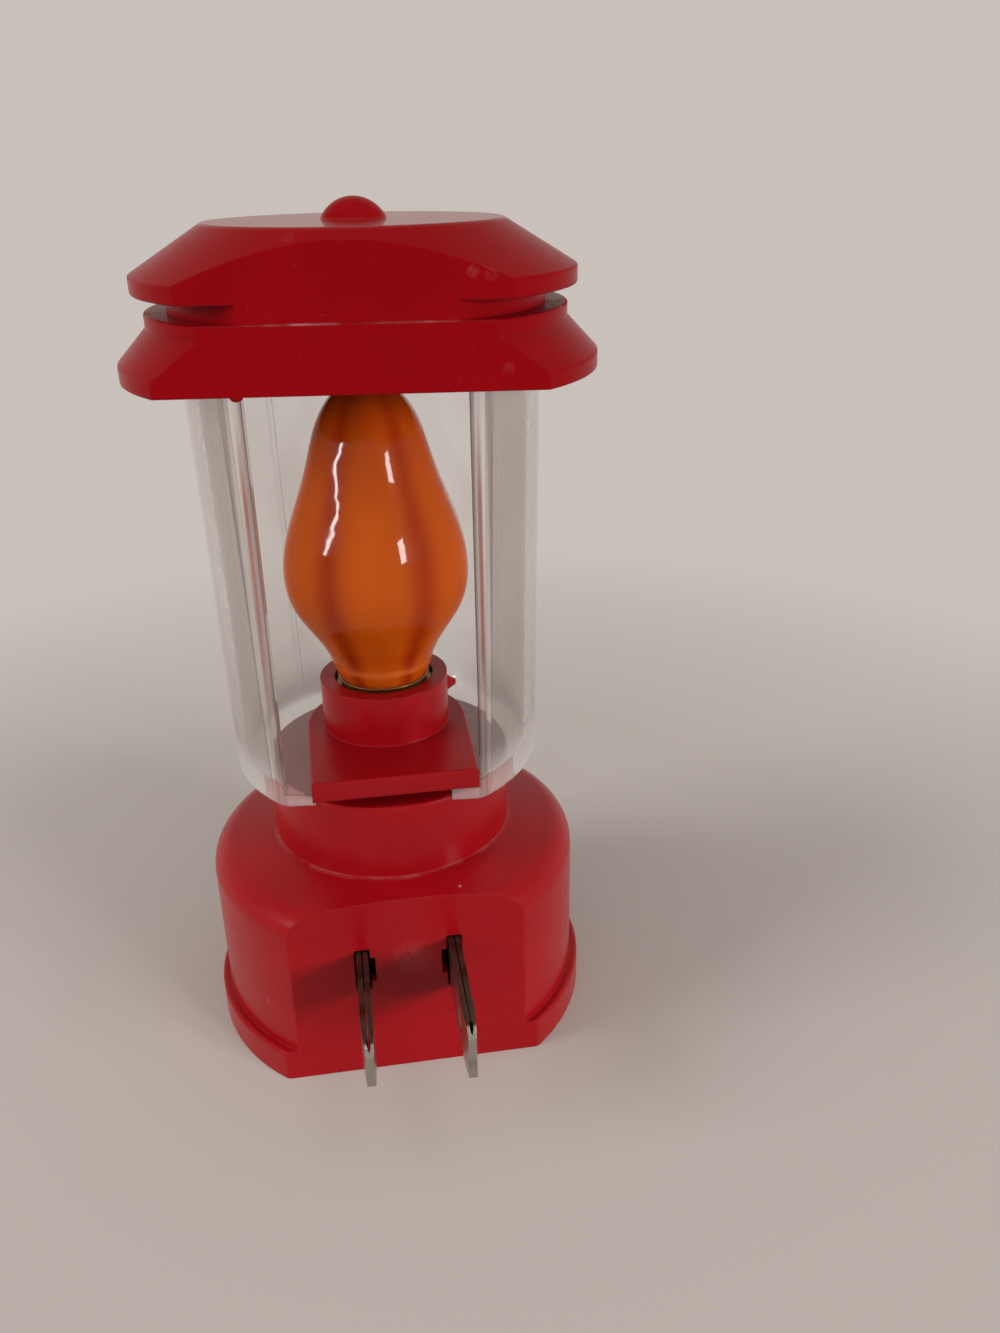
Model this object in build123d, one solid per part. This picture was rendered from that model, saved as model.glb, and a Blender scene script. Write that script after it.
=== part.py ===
from build123d import *
import math
import os

# Plug-in lantern night light. Millimetres, +Z up, wall side towards -Y.
# The lantern's axis is X = Y = 0 and the bottom of its base lies at Z = 0.

os.makedirs("parts", exist_ok=True)

# ---------------------------------------------------------------- driving sizes

# Base housing
base_r = 26.7           # body radius
base_flat = 21.3        # axis to the wall face
base_wall = 1.8
shoulder_z = 27.6       # where the sloping top would meet the body wall, before rounding
shoulder_round = 4.0
lip_proud = 1.2         # how far the bottom lip stands out
lip_h = 4.8
lip_round = 0.5
neck_r = 17.3
neck_foot = 29.7
neck_h = 11.05
neck_round = 0.3
deck_t = 2.0            # top of the neck
flat_corner_round = 0.5
lip_corner_round = 1.2

# Bottom cover
cover_t = 2.0
cover_ledge = 0.6       # how much wider the mouth is than the hollow above it
cover_gap = 0.1
cover_rim_h = 3.0
cover_rim_t = 1.2

# Plug blades, each a strip folded back on itself at the tip
blade_pitch = 12.7
blade_ws = {"left": 6.35, "right": 7.94}    # polarized: the right blade is the wide one
blade_t = 1.6
blade_fold_gap = 0.16
blade_eye = 0.5         # the fold gap opens to this width at the tip
blade_reach = 18.2      # how far it stands out of the wall face
blade_z = 17.7          # centre height
blade_hole_r = 1.6
blade_hole_from_face = 11.7
blade_tip_taper = 3.6
blade_tip_t = 1.05
blade_tip_round = 0.3
blade_nose_cut_top = 1.6
blade_nose_run_top = 1.0
blade_nose_cut_low = 0.5
blade_nose_run_low = 0.32
blade_eye_reach = 0.8    # half the eye's length
blade_bend_t = 0.36     # metal left in front of the eye, at the bend
blade_shoulder_out = 1.2    # how far the shoulder stands out past each edge
blade_shoulder_l = 3.0
tab_w = 4.4
tab_l = 7.2
tab_hole_r = 0.7
slot_gap = 0.25
relief_w = 0.7          # core mark beside each slot, towards the middle
relief_h = 4.0

# Blade retainer and its screws
retainer_t = 3.0
retainer_h = 9.0
retainer_overhang = 3.4
boss_r = 2.3
boss_pitch = 25.0
screw_r = 1.0
screw_head_r = 1.9
screw_head_h = 1.2
screw_l = 5.2
screw_gap = 0.05
retainer_round = 1.5

# Bulb, E12 base
bulb_shell_r = 5.85
bulb_shell_t = 0.3
bulb_shell_l = 11.9
bulb_flare_r = 6.4      # the shell's rim flares out round the neck of the glass
bulb_flare_h = 1.2
bulb_insulator_h = 2.2
bulb_insulator_tip_r = 2.6
bulb_contact_r = 2.3
bulb_contact_h = 1.0
bulb_contact_flat_r = 1.27
bulb_contact_rise = 0.6  # height of its rounded part
bulb_foot_w = 0.8       # inward foot of the bulb's shell
glass_wall = 0.7
glass_neck_r = 6.1
glass_foot_depth = 5.5  # how far the glass reaches down into its shell
glass_rim_rise = 0.05   # neck of the glass above its shell
neck_lap = 0.4          # how far the neck's wall runs up into the fluted wall
neck_lap_inset = 0.1
lobes = 6
lobe_turn = -3.5        # degrees, the lobe that faces the wall
# Height above the glass neck, radius over the lobes, depth of the flutes as a share of it
glass_stations = [
    (1.0, 6.6, 0.000),
    (3.4, 7.45, 0.012),
    (6.0, 8.8, 0.038),
    (8.6, 10.5, 0.056),
    (11.6, 12.2, 0.056),
    (15.0, 13.0, 0.056),
    (19.6, 12.6, 0.056),
    (25.0, 10.7, 0.056),
    (30.4, 8.7, 0.056),
    (34.7, 7.3, 0.056),
    (37.9, 5.4, 0.050),
    (39.9, 3.2, 0.038),
]
glass_h = 41.1

# Inside the bulb, heights above the glass neck
stem_h = 7.0
stem_flare_h = 4.5
stem_waist_r = 2.2
stem_top_r = 1.6
pinch_h = 3.5
pinch_w = 4.0
pinch_t = 1.6
pinch_lap = 0.5
lead_in_r = 0.25
lead_in_bend = 2.0
lead_in_path = [(1.2, 0.0), (1.4, 3.0), (4.6, 10.0)]    # out from the axis, up from the stem
filament_r = 0.15
filament_bend = 1.0
filament_gap = 0.3
filament_path = [(4.6, 0.0), (3.4, 2.2), (0.0, 3.2)]    # out from the axis, up from the leads

# Socket
thread_gap = 0.08       # radial, between the bulb's shell and the socket's
socket_sheet = 0.35
socket_rim_w = 0.45
shell_foot_w = 0.9      # inward foot of the screw shell
socket_rim_depth = 1.2  # rim below the top of the collar
bulb_rim_rise = 1.5     # bulb shell's rim above the socket's
housing_gap = 0.05
collar_r = 8.95
collar_h = 7.2
mouth_r = 6.9
block_front = 17.35     # axis to the front of the block
block_front_half = 10.98
block_back_r = 11.35
block_h = 2.7
block_round = 0.35
stem_r = 8.75
tube_drop = 5.3         # how far the tube reaches below the deck
disc_t = 1.2
disc_ledge = 0.9
tongue_rise = 0.8
tongue_w = 3.4
tongue_pad = 0.9        # half the length of its raised part
tongue_bend = 0.1
tongue_gap = 0.1        # to the shell's foot
rivet_r = 0.8
rivet_head_r = 1.1
rivet_land_r = 1.4      # flat room round the rivet
rivet_gap = 0.03
rivet_head_h = 0.35
rivet_x = 3.6
terminal_w = 2.6
terminal_l = 3.4
lug_out = 1.3
lug_w = 6.0
lug_h = 1.6
key_out = 0.9
key_w = 2.0
pin_r = 0.6
pin_l = 1.6
pin_gap = 0.05
pin_x = 9.0
nub_r = 1.5             # gate mark on the room half
nub_h = 1.4
nub_tip_r = 0.35
nub_sunk = 0.4
nub_below_top = 3.1

# Lead wires
wire_r = 0.8
wire_bend = 3.2
wire_tab_gap = 0.05     # end of the wire to the blade's tab
wire_end_drop = 0.4     # end of the wire below the tube
wire_gaps = {"left": 0.02, "right": 0.3}     # side of the wire to its terminal

# Globe
globe_r_foot = 21.4
globe_r_top = 22.3
globe_wall = 1.6
globe_flat = 15.9
globe_h = 60.4
globe_opening_half = 12.85
globe_floor_t = 1.75
globe_foot_round = 1.4
globe_inner_round = 1.6
globe_slot_gap = 0.33
floor_gap = 0.15        # globe floor to the block above it
stop_gap = 0.08         # globe edge to the side of the block, where the turn stops
rib_w = 0.8
rib_proud = 0.3
rib_sunk = 0.8          # how far a rib runs into the wall
rib_angle = 45.0

# Roof
roof_wall = 1.6
roof_flat = 19.65
skirt_r = 29.3
skirt_band_h = 1.83
skirt_cone_h = 3.97
tier_r = 25.55
tier_band_h = 1.75
roof_hole_r = 12.0
ring_t = 1.4
ring_h = 3.0
ring_gap = 0.15
spigot_h = 1.2
groove_r = 22.87
groove_h = 2.1
brim_r = 26.74
brim_band_h = 2.04
cone_h = 5.37
disc_r = 17.88
knob_r = 4.0
knob_h = 2.5
roof_edge_round = 0.3

# ---------------------------------------------------------------- derived places

neck_top = neck_foot + neck_h
deck_under = neck_top - deck_t
lip_r = base_r + lip_proud
wall_in = base_flat - base_wall

block_bottom = neck_top + globe_floor_t + floor_gap
block_top = block_bottom + block_h
collar_top = block_top + collar_h
tube_bottom = deck_under - tube_drop

socket_in_r = bulb_shell_r + thread_gap
socket_out_r = socket_in_r + socket_sheet
bore_r = socket_out_r + housing_gap
socket_top = collar_top - socket_rim_depth
bulb_shell_top = socket_top + bulb_rim_rise
bulb_shell_bottom = bulb_shell_top - bulb_shell_l
insulator_bottom = bulb_shell_bottom - bulb_insulator_h
contact_bottom = insulator_bottom - bulb_contact_h
disc_top = contact_bottom - tongue_rise - socket_sheet
disc_bottom = disc_top - disc_t
flare_z = bulb_shell_top - bulb_flare_h
glass_neck_z = bulb_shell_top + glass_rim_rise
stem_top = glass_neck_z + stem_h

globe_top = neck_top + globe_h
tier_top = globe_top + roof_wall
skirt_bottom = tier_top - tier_band_h - skirt_cone_h - skirt_band_h
brim_under = tier_top + groove_h
brim_top = brim_under + brim_band_h
roof_top = brim_top + cone_h

# The shade turns on the stem until an edge of the globe's opening meets the side of the
# block. It stands at that stop, turned clockwise as seen from above.
edge_reach = math.hypot(globe_opening_half, globe_flat)
edge_angle = math.atan2(globe_flat, globe_opening_half)
shade_turn = math.degrees(math.acos((block_front_half + stop_gap) / edge_reach) - edge_angle)

blade_xs = {"left": -blade_pitch / 2, "right": blade_pitch / 2}
boss_xs = [-boss_pitch / 2, boss_pitch / 2]
shoulder_back = wall_in - blade_shoulder_l
retainer_back = shoulder_back - retainer_t
tab_end = shoulder_back - tab_l
layer_t = (blade_t - blade_fold_gap) / 2

# ---------------------------------------------------------------- helpers

far = 200.0             # larger than the whole light
lap = 0.1               # how far forms of one moulding run into each other


def inner_drop(wall, rise, run):
    """How far the inner corner lies below the outer one, for an even wall under a slope."""
    slope = rise / run
    return wall * (math.hypot(1, slope) - slope)


def outline(points, rounds=None):
    """A closed face in the X-Z plane; rounds gives a fillet radius for chosen points."""
    face = make_face(Polyline(*points, close=True))
    for index, radius in (rounds or {}).items():
        corner = face.vertices().sort_by_distance(Vector(*points[index], 0))[0]
        face = fillet(corner, radius)
    return Plane.XZ * face


def turned(points, rounds=None):
    """An outline of (radius, height) points, turned about the lantern's axis."""
    return revolve(outline(points, rounds), Axis.Z)


def cylinder(radius, low, high, x=0.0, y=0.0):
    """A round bar along Z between two heights."""
    return Pos(x, y, (low + high) / 2) * Cylinder(radius, high - low)


def block(x0, x1, y0, y1, z0, z1):
    """A box between two corners."""
    return Pos((x0 + x1) / 2, (y0 + y1) / 2, (z0 + z1) / 2) * Box(x1 - x0, y1 - y0, z1 - z0)


def room_side(shape, flat):
    """What is left of a shape after its wall side is cut flat at this distance."""
    return shape & block(-far, far, -flat, far, -far, far)


def bar_y(radius, y0, y1, x, z):
    """A round bar along Y."""
    return Pos(x, (y0 + y1) / 2, z) * Rot(90, 0, 0) * Cylinder(radius, y1 - y0)


def d_bar(radius, flat, low, high, corner=0.0):
    """An upright bar of D-shaped plan, with its two corners rounded on request."""
    plan = Circle(radius) & Pos(0, far / 2 - flat) * Rectangle(far, far)
    if corner:
        plan = fillet(plan.vertices(), corner)
    return Pos(0, 0, low) * extrude(plan, high - low)


def save(part, name):
    part.label = name
    export_step(part, f"parts/{name}.step")


# ---------------------------------------------------------------- base


def base_body():
    """Outer form of the base: lip, body, sloping top and neck, cut flat at the wall side."""
    lip = turned([(0, 0), (lip_r, 0), (lip_r, lip_h), (0, lip_h)], {2: lip_round})
    body = turned([(0, 0), (base_r, 0), (base_r, shoulder_z), (neck_r, neck_foot),
                   (neck_r, neck_top), (0, neck_top)], {2: shoulder_round, 4: neck_round})
    lip = lip & d_bar(lip_r, base_flat, 0, lip_h, lip_corner_round)
    body = body & d_bar(base_r, base_flat, 0, neck_top, flat_corner_round)
    return body + lip


def base_hollow():
    """The space inside the base, with a wider mouth for the cover."""
    inner_r = base_r - base_wall
    neck_in = neck_r - base_wall
    drop = inner_drop(base_wall, neck_foot - shoulder_z, base_r - neck_r)
    points = [(0, 0), (inner_r, 0), (inner_r, shoulder_z - drop), (neck_in, neck_foot - drop),
              (neck_in, deck_under), (0, deck_under)]
    hollow = turned(points, {2: shoulder_round - base_wall})
    mouth = cylinder(inner_r + cover_ledge, 0, cover_t)
    return room_side(hollow, wall_in) + room_side(mouth, wall_in + cover_ledge)


def blade_slot(side):
    """The slot for one blade, with the core mark on its inner side."""
    x = blade_xs[side]
    half_t = blade_t / 2 + slot_gap
    half_w = blade_ws[side] / 2 + slot_gap
    inner = math.copysign(half_t + relief_w, -x)
    slot = block(x - half_t, x + half_t, -base_flat - 1, -wall_in + 1,
                 blade_z - half_w, blade_z + half_w)
    low_x, high_x = sorted((x, x + inner))
    relief = block(low_x, high_x, -base_flat - 1, -wall_in + 1,
                   blade_z - relief_h / 2, blade_z + relief_h / 2)
    return slot + relief


def base_housing():
    part = base_body() - base_hollow()
    for x in boss_xs:
        boss = bar_y(boss_r, -wall_in - base_wall / 2, -shoulder_back, x, blade_z)
        pilot = bar_y(screw_r + screw_gap, -wall_in, -shoulder_back + 1, x, blade_z)
        part = part + boss - pilot
    for side in blade_xs:
        part -= blade_slot(side)
    part -= cylinder(stem_r + housing_gap, deck_under - 1, neck_top + 1)
    half_key = key_w / 2 + housing_gap
    part -= block(-half_key, half_key, -stem_r - key_out - housing_gap, 0,
                  deck_under - 1, neck_top + 1)
    return part


def base_bottom_cover():
    """Plate that closes the mouth, with a rim that fits inside the body."""
    plate = cylinder(base_r - base_wall + cover_ledge - cover_gap, 0, cover_t)
    plate = room_side(plate, wall_in + cover_ledge - cover_gap)
    rim_r = base_r - base_wall - cover_gap
    rim = room_side(cylinder(rim_r, cover_t / 2, cover_t + cover_rim_h), wall_in - cover_gap)
    rim -= room_side(cylinder(rim_r - cover_rim_t, 0, far), wall_in - cover_gap - cover_rim_t)
    return plate + rim


# ---------------------------------------------------------------- blades


def blade(side):
    """A strip folded at the tip. Its shoulder sits behind the wall and one layer goes on as a tab."""
    x = blade_xs[side]
    tip = -base_flat - blade_reach
    half = blade_t / 2
    half_tip = blade_tip_t / 2
    taper = tip + blade_tip_taper
    plan = make_face(Polyline((half_tip, tip), (half, taper), (half, -shoulder_back),
                              (-half, -shoulder_back), (-half, taper), (-half_tip, tip), close=True))
    plan = fillet(plan.vertices().group_by(Axis.Y)[0], blade_tip_round)
    edge = blade_ws[side] / 2
    shoulder = edge + blade_shoulder_out
    side_view = make_face(Polyline(
        (tip, -edge + blade_nose_cut_low), (tip + blade_nose_run_low, -edge), (-wall_in, -edge),
        (-wall_in, -shoulder), (-shoulder_back, -shoulder),
        (-shoulder_back, shoulder), (-wall_in, shoulder),
        (-wall_in, edge), (tip + blade_nose_run_top, edge), (tip, edge - blade_nose_cut_top),
        close=True))
    strip = extrude(plan, far, both=True) & extrude(Plane.YZ * side_view, far, both=True)
    fold_end = tip + blade_bend_t + blade_eye_reach
    gap = Pos(0, (fold_end + far) / 2, 0) * Box(blade_fold_gap, far - fold_end, far)
    eye = Pos(0, fold_end, 0) * extrude(Ellipse(blade_eye / 2, blade_eye_reach), far, both=True)
    hole = Pos(0, -base_flat - blade_hole_from_face, 0) * Rot(0, 90, 0) * Cylinder(blade_hole_r, far)
    strip = strip - gap - eye - hole
    outward = math.copysign(1, x)
    tab_x = outward * (half - layer_t / 2)
    tab_mid = -shoulder_back + tab_l / 2
    tab = Pos(tab_x, tab_mid, 0) * Box(layer_t, tab_l, tab_w)
    tab_hole = Pos(tab_x, -tab_end - tab_w / 2, 0) * Rot(0, 90, 0) * Cylinder(tab_hole_r, blade_t)
    return Pos(x, 0, blade_z) * (strip + tab - tab_hole)


def blade_retainer():
    """Bar screwed to the bosses, which presses both shoulders against the wall."""
    half = boss_pitch / 2 + retainer_overhang
    bar = block(-half, half, -shoulder_back, -retainer_back,
                blade_z - retainer_h / 2, blade_z + retainer_h / 2)
    bar = fillet(bar.edges().filter_by(Axis.Y), retainer_round)
    for x in blade_xs.values():
        window = Pos(x, 0, blade_z) * Box(blade_t + 2 * slot_gap, far, tab_w + 2 * slot_gap)
        bar -= window
    for x in boss_xs:
        bar -= bar_y(screw_r + screw_gap, -far, far, x, blade_z)
    return bar


def retainer_screws():
    """Two pan-head screws with their heads on the retainer."""
    screws = []
    for x in boss_xs:
        head = bar_y(screw_head_r, -retainer_back, -retainer_back + screw_head_h, x, blade_z)
        shank = bar_y(screw_r, -retainer_back - screw_l, -retainer_back + lap, x, blade_z)
        screws.append(head + shank)
    return Compound(children=screws)


# ---------------------------------------------------------------- socket


def block_plan():
    """Plan of the socket's block: square towards the wall, round towards the room."""
    front = Polyline((-block_back_r, 0), (-block_front_half, -block_front),
                     (block_front_half, -block_front), (block_back_r, 0))
    back = RadiusArc((block_back_r, 0), (-block_back_r, 0), -block_back_r)
    return make_face(front + back)


def socket_housing():
    """Collar, block, stem and tube, before the housing is split in two."""
    plan = block_plan()
    slab = Pos(0, 0, block_bottom) * extrude(plan, block_h)
    slab = fillet(slab.edges().group_by(Axis.Z)[-1], block_round)
    outer = slab + cylinder(collar_r, block_top - block_h / 2, collar_top)
    outer += cylinder(stem_r, tube_bottom, block_bottom + block_h / 2)
    for side in (-1, 1):
        reach = stem_r + lug_out
        low, high = sorted((0, side * reach))
        lug = block(-lug_w / 2, lug_w / 2, low, high,
                    deck_under - housing_gap - lug_h, deck_under - housing_gap)
        outer += lug & cylinder(reach, 0, far)
    outer += block(-key_w / 2, key_w / 2, -stem_r - key_out, 0, deck_under, neck_top)
    bore = cylinder(bore_r, disc_bottom, socket_top)
    mouth = cylinder(mouth_r, socket_top, far)
    throat = cylinder(bore_r - disc_ledge, 0, disc_bottom)
    tab_way = block(0, bore_r, -terminal_w / 2 - housing_gap, terminal_w / 2 + housing_gap,
                    0, disc_top)
    return outer - bore - mouth - throat - tab_way


def alignment_pins(radius, length):
    """Pins across the parting face, one each side of the bore."""
    z = (block_bottom + block_top) / 2
    return [bar_y(radius, -length, 0, x, z) for x in (-pin_x, pin_x)]


def socket_housing_wall_half():
    part = socket_housing() & block(-far, far, -far, 0, -far, far)
    for hole in alignment_pins(pin_r + pin_gap, pin_l + pin_gap):
        part -= hole
    return part


def socket_housing_room_half():
    part = socket_housing() & block(-far, far, 0, far, -far, far)
    for pin in alignment_pins(pin_r, pin_l):
        part += pin
    nub = Pos(collar_r - nub_sunk, nub_r, collar_top - nub_below_top) * Rot(0, 90, 0)
    cone = Cone(nub_r, nub_tip_r, nub_h + nub_sunk, align=(Align.CENTER, Align.CENTER, Align.MIN))
    return part + nub * cone


def socket_screw_shell():
    """Drawn brass cup: rim, wall, inward foot, and a tab that goes down past the disc."""
    foot_r = socket_in_r - shell_foot_w
    points = [(foot_r, disc_top), (socket_out_r, disc_top), (socket_out_r, socket_top),
              (socket_out_r + socket_rim_w, socket_top),
              (socket_out_r + socket_rim_w, socket_top + socket_sheet),
              (socket_in_r, socket_top + socket_sheet), (socket_in_r, disc_top + socket_sheet),
              (foot_r, disc_top + socket_sheet)]
    tab = block(socket_out_r - socket_sheet, socket_out_r, -terminal_w / 2, terminal_w / 2,
                tube_bottom - terminal_l / 2, disc_top + socket_sheet)
    tab = tab & cylinder(socket_out_r, 0, far)
    return turned(points) + tab


def socket_insulating_disc():
    disc = cylinder(bore_r - housing_gap, disc_bottom, disc_top)
    notch = block(socket_out_r - 2 * socket_sheet, far, -terminal_w, terminal_w, 0, far)
    return disc - notch - cylinder(rivet_r + rivet_gap, 0, far, x=-rivet_x)


def socket_center_contact():
    """Sprung brass tongue, riveted to the disc at one side and raised under the bulb."""
    left = -math.sqrt((socket_in_r - shell_foot_w - tongue_gap) ** 2 - (tongue_w / 2) ** 2)
    knee = -rivet_x + rivet_land_r + 2 * tongue_bend
    raised = disc_top + tongue_rise
    points = [(left, disc_top), (knee, disc_top), (-tongue_pad, raised), (tongue_pad, raised),
              (tongue_pad, raised + socket_sheet), (-tongue_pad - tongue_bend, raised + socket_sheet),
              (knee - tongue_bend, disc_top + socket_sheet), (left, disc_top + socket_sheet)]
    tongue = extrude(outline(points), tongue_w / 2, both=True)
    return tongue - cylinder(rivet_r + rivet_gap, 0, far, x=-rivet_x)


def socket_center_terminal():
    """Brass angle under the disc, from the rivet down to the lead wire."""
    x0 = -rivet_x - rivet_r - socket_sheet
    x1 = -rivet_x + rivet_land_r
    flange = block(x0, x1, -terminal_w / 2, terminal_w / 2, disc_bottom - socket_sheet, disc_bottom)
    leg = block(x1 - socket_sheet, x1, -terminal_w / 2, terminal_w / 2,
                tube_bottom - terminal_l / 2, disc_bottom)
    return flange + leg - cylinder(rivet_r + rivet_gap, disc_bottom - 1, far, x=-rivet_x)


def socket_rivet():
    low = disc_bottom - socket_sheet
    high = disc_top + socket_sheet
    shank = cylinder(rivet_r, low, high, x=-rivet_x)
    top_head = cylinder(rivet_head_r, high, high + rivet_head_h, x=-rivet_x)
    bottom_head = cylinder(rivet_head_r, low - rivet_head_h, low, x=-rivet_x)
    return shank + top_head + bottom_head


def lead_wire(side):
    """Insulated wire from a blade's tab up to its terminal at the socket."""
    outward = math.copysign(1, blade_xs[side])
    start_x = blade_xs[side] + outward * (blade_t / 2 - layer_t / 2)
    terminal_face = {"left": -rivet_x + rivet_land_r, "right": socket_out_r}[side] - socket_sheet
    end_x = terminal_face - wire_r - wire_gaps[side]
    end_z = tube_bottom - wire_end_drop
    low = blade_z
    start_y = -tab_end + wire_tab_gap
    path = FilletPolyline((start_x, start_y, low), (start_x, 0, low), (end_x, 0, end_z),
                          radius=wire_bend)
    section = Plane(path @ 0, z_dir=path % 0) * Circle(wire_r)
    return sweep(section, path)


# ---------------------------------------------------------------- bulb


def lobed_section(radius, depth, z):
    """One level of the fluted glass."""
    count = 6 * lobes
    points = []
    for step in range(count):
        angle = 2 * math.pi * step / count
        reach = radius * (1 - depth * (1 - math.cos(lobes * angle)) / 2)
        turn = angle + math.radians(lobe_turn - 90)
        points.append((reach * math.cos(turn), reach * math.sin(turn), z))
    return make_face(Spline(*points, periodic=True))


def lobed_body(inset):
    """The fluted body above the neck, shrunk all round by the inset."""
    levels = [lobed_section(glass_neck_r - inset, 0, glass_neck_z)]
    for height, radius, depth in glass_stations:
        levels.append(lobed_section(radius - inset, depth, glass_neck_z + height))
    tip = Vertex(0, 0, glass_neck_z + glass_h - inset)
    return loft(levels + [tip])


def bulb_glass():
    neck_out = bulb_shell_r - bulb_shell_t - housing_gap
    neck_in = neck_out - glass_wall
    foot = bulb_shell_top - glass_foot_depth
    lap_out = glass_neck_r - neck_lap_inset
    lap_in = glass_neck_r - glass_wall + neck_lap_inset
    lap_top = glass_neck_z + neck_lap
    skirt = turned([(neck_in, foot), (neck_out, foot), (neck_out, flare_z),
                    (lap_out, glass_neck_z), (lap_out, lap_top), (lap_in, lap_top),
                    (lap_in, glass_neck_z), (neck_in, flare_z)])
    return lobed_body(0) - lobed_body(glass_wall) + skirt


def bulb_screw_shell():
    inner = bulb_shell_r - bulb_shell_t
    foot_r = inner - bulb_foot_w
    return turned([(foot_r, bulb_shell_bottom), (bulb_shell_r, bulb_shell_bottom),
                   (bulb_shell_r, flare_z), (bulb_flare_r, bulb_shell_top),
                   (bulb_flare_r - bulb_shell_t, bulb_shell_top), (inner, flare_z),
                   (inner, bulb_shell_bottom + bulb_shell_t),
                   (foot_r, bulb_shell_bottom + bulb_shell_t)])


def bulb_insulator():
    top_r = bulb_shell_r - bulb_shell_t - bulb_foot_w
    return turned([(0, insulator_bottom), (bulb_insulator_tip_r, insulator_bottom),
                   (top_r, bulb_shell_bottom), (top_r, bulb_shell_bottom + 2 * bulb_shell_t),
                   (0, bulb_shell_bottom + 2 * bulb_shell_t)])


def bulb_center_contact():
    return turned([(0, contact_bottom), (bulb_contact_flat_r, contact_bottom),
                   (bulb_contact_r, contact_bottom + bulb_contact_rise),
                   (bulb_contact_r, insulator_bottom), (0, insulator_bottom)])


def bulb_stem():
    """Glass flare that seals the neck, pinched flat round the lead-in wires."""
    flare_r = bulb_shell_r - bulb_shell_t - housing_gap - glass_wall
    foot = bulb_shell_top - glass_foot_depth
    flare_top = stem_top - pinch_h + pinch_lap
    flare = turned([(0, foot), (flare_r, foot), (stem_waist_r, foot + stem_flare_h),
                    (stem_top_r, flare_top), (0, flare_top)])
    return flare + block(-pinch_w / 2, pinch_w / 2, -pinch_t / 2, pinch_t / 2,
                         stem_top - pinch_h, stem_top)


def wire_arc(points, radius, bend):
    path = FilletPolyline(*points, radius=bend)
    return sweep(Plane(path @ 0, z_dir=path % 0) * Circle(radius), path)


def bulb_lead_in_wires():
    wires = []
    for side in (-1, 1):
        points = [(side * out, 0, stem_top + up) for out, up in lead_in_path]
        wires.append(wire_arc(points, lead_in_r, lead_in_bend))
    return Compound(children=wires)


def bulb_filament():
    low = stem_top + lead_in_path[-1][1] + filament_gap
    left = [(-out, 0, low + up) for out, up in filament_path]
    right = [(out, 0, low + up) for out, up in reversed(filament_path[:-1])]
    return wire_arc(left + right, filament_r, filament_bend)


# ---------------------------------------------------------------- shade


def globe_solid(inset, low, high):
    """D-shaped upright body of the globe, shrunk all round by the inset."""
    slope = (globe_r_top - globe_r_foot) / globe_h

    def radius(z):
        return globe_r_foot + slope * (z - neck_top) - inset
    rounds = {1: globe_inner_round if inset else globe_foot_round}
    body = turned([(0, low), (radius(low), low), (radius(high), high), (0, high)], rounds)
    return room_side(body, globe_flat - inset)


def globe():
    floor_top = neck_top + globe_floor_t
    part = globe_solid(0, neck_top, globe_top) - globe_solid(globe_wall, floor_top, globe_top + 1)
    part -= block(-globe_opening_half, globe_opening_half, -far, -globe_flat + 2 * globe_wall,
                  floor_top, far)
    slot_r = stem_r + globe_slot_gap
    part -= cylinder(slot_r, 0, floor_top + 1)
    part -= block(-slot_r, slot_r, -far, 0, 0, floor_top + 1)
    rib_low = floor_top - rib_sunk
    rib_high = globe_top - ring_h - rib_sunk
    rib_ring = globe_solid(globe_wall - rib_sunk, rib_low, rib_high)
    rib_ring -= globe_solid(globe_wall + rib_proud, rib_low - 2 * globe_inner_round, rib_high + 1)
    for turn in (-rib_angle, rib_angle):
        part += rib_ring & Rot(0, 0, turn) * block(-rib_w / 2, rib_w / 2, 0, far, rib_low, rib_high)
    return Rot(0, 0, -shade_turn) * part


def roof_lower():
    """Skirt and tier rim, with a deck that sits on the globe and two rings that locate the parts."""
    cone_low = skirt_bottom + skirt_band_h
    cone_high = cone_low + skirt_cone_h
    drop = inner_drop(roof_wall, skirt_cone_h, skirt_r - tier_r)
    outer = [(0, skirt_bottom), (skirt_r, skirt_bottom), (skirt_r, cone_low), (tier_r, cone_high),
             (tier_r, tier_top), (0, tier_top)]
    inner = [(0, skirt_bottom - 1), (skirt_r - roof_wall, skirt_bottom - 1),
             (skirt_r - roof_wall, cone_low - drop), (tier_r - roof_wall, cone_high - drop),
             (tier_r - roof_wall, globe_top), (0, globe_top)]
    part = room_side(turned(outer, {2: roof_edge_round, 4: roof_edge_round}), roof_flat)
    part -= room_side(turned(inner), roof_flat - roof_wall)
    part -= cylinder(roof_hole_r, 0, far)
    ring_r = globe_r_top - globe_wall - ring_gap
    ring = d_ring(ring_r, globe_flat - globe_wall - ring_gap, globe_top - ring_h, globe_top + lap)
    spigot_r = groove_r - roof_wall - ring_gap
    spigot = d_ring(spigot_r, roof_flat - roof_wall - ring_gap, tier_top - lap, tier_top + spigot_h)
    return Rot(0, 0, -shade_turn) * (part + ring + spigot)


def d_ring(radius, flat, low, high):
    """A D-shaped ring of the locating thickness."""
    ring = room_side(cylinder(radius, low, high), flat)
    return ring - room_side(cylinder(radius - ring_t, 0, far), flat - ring_t)


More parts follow.
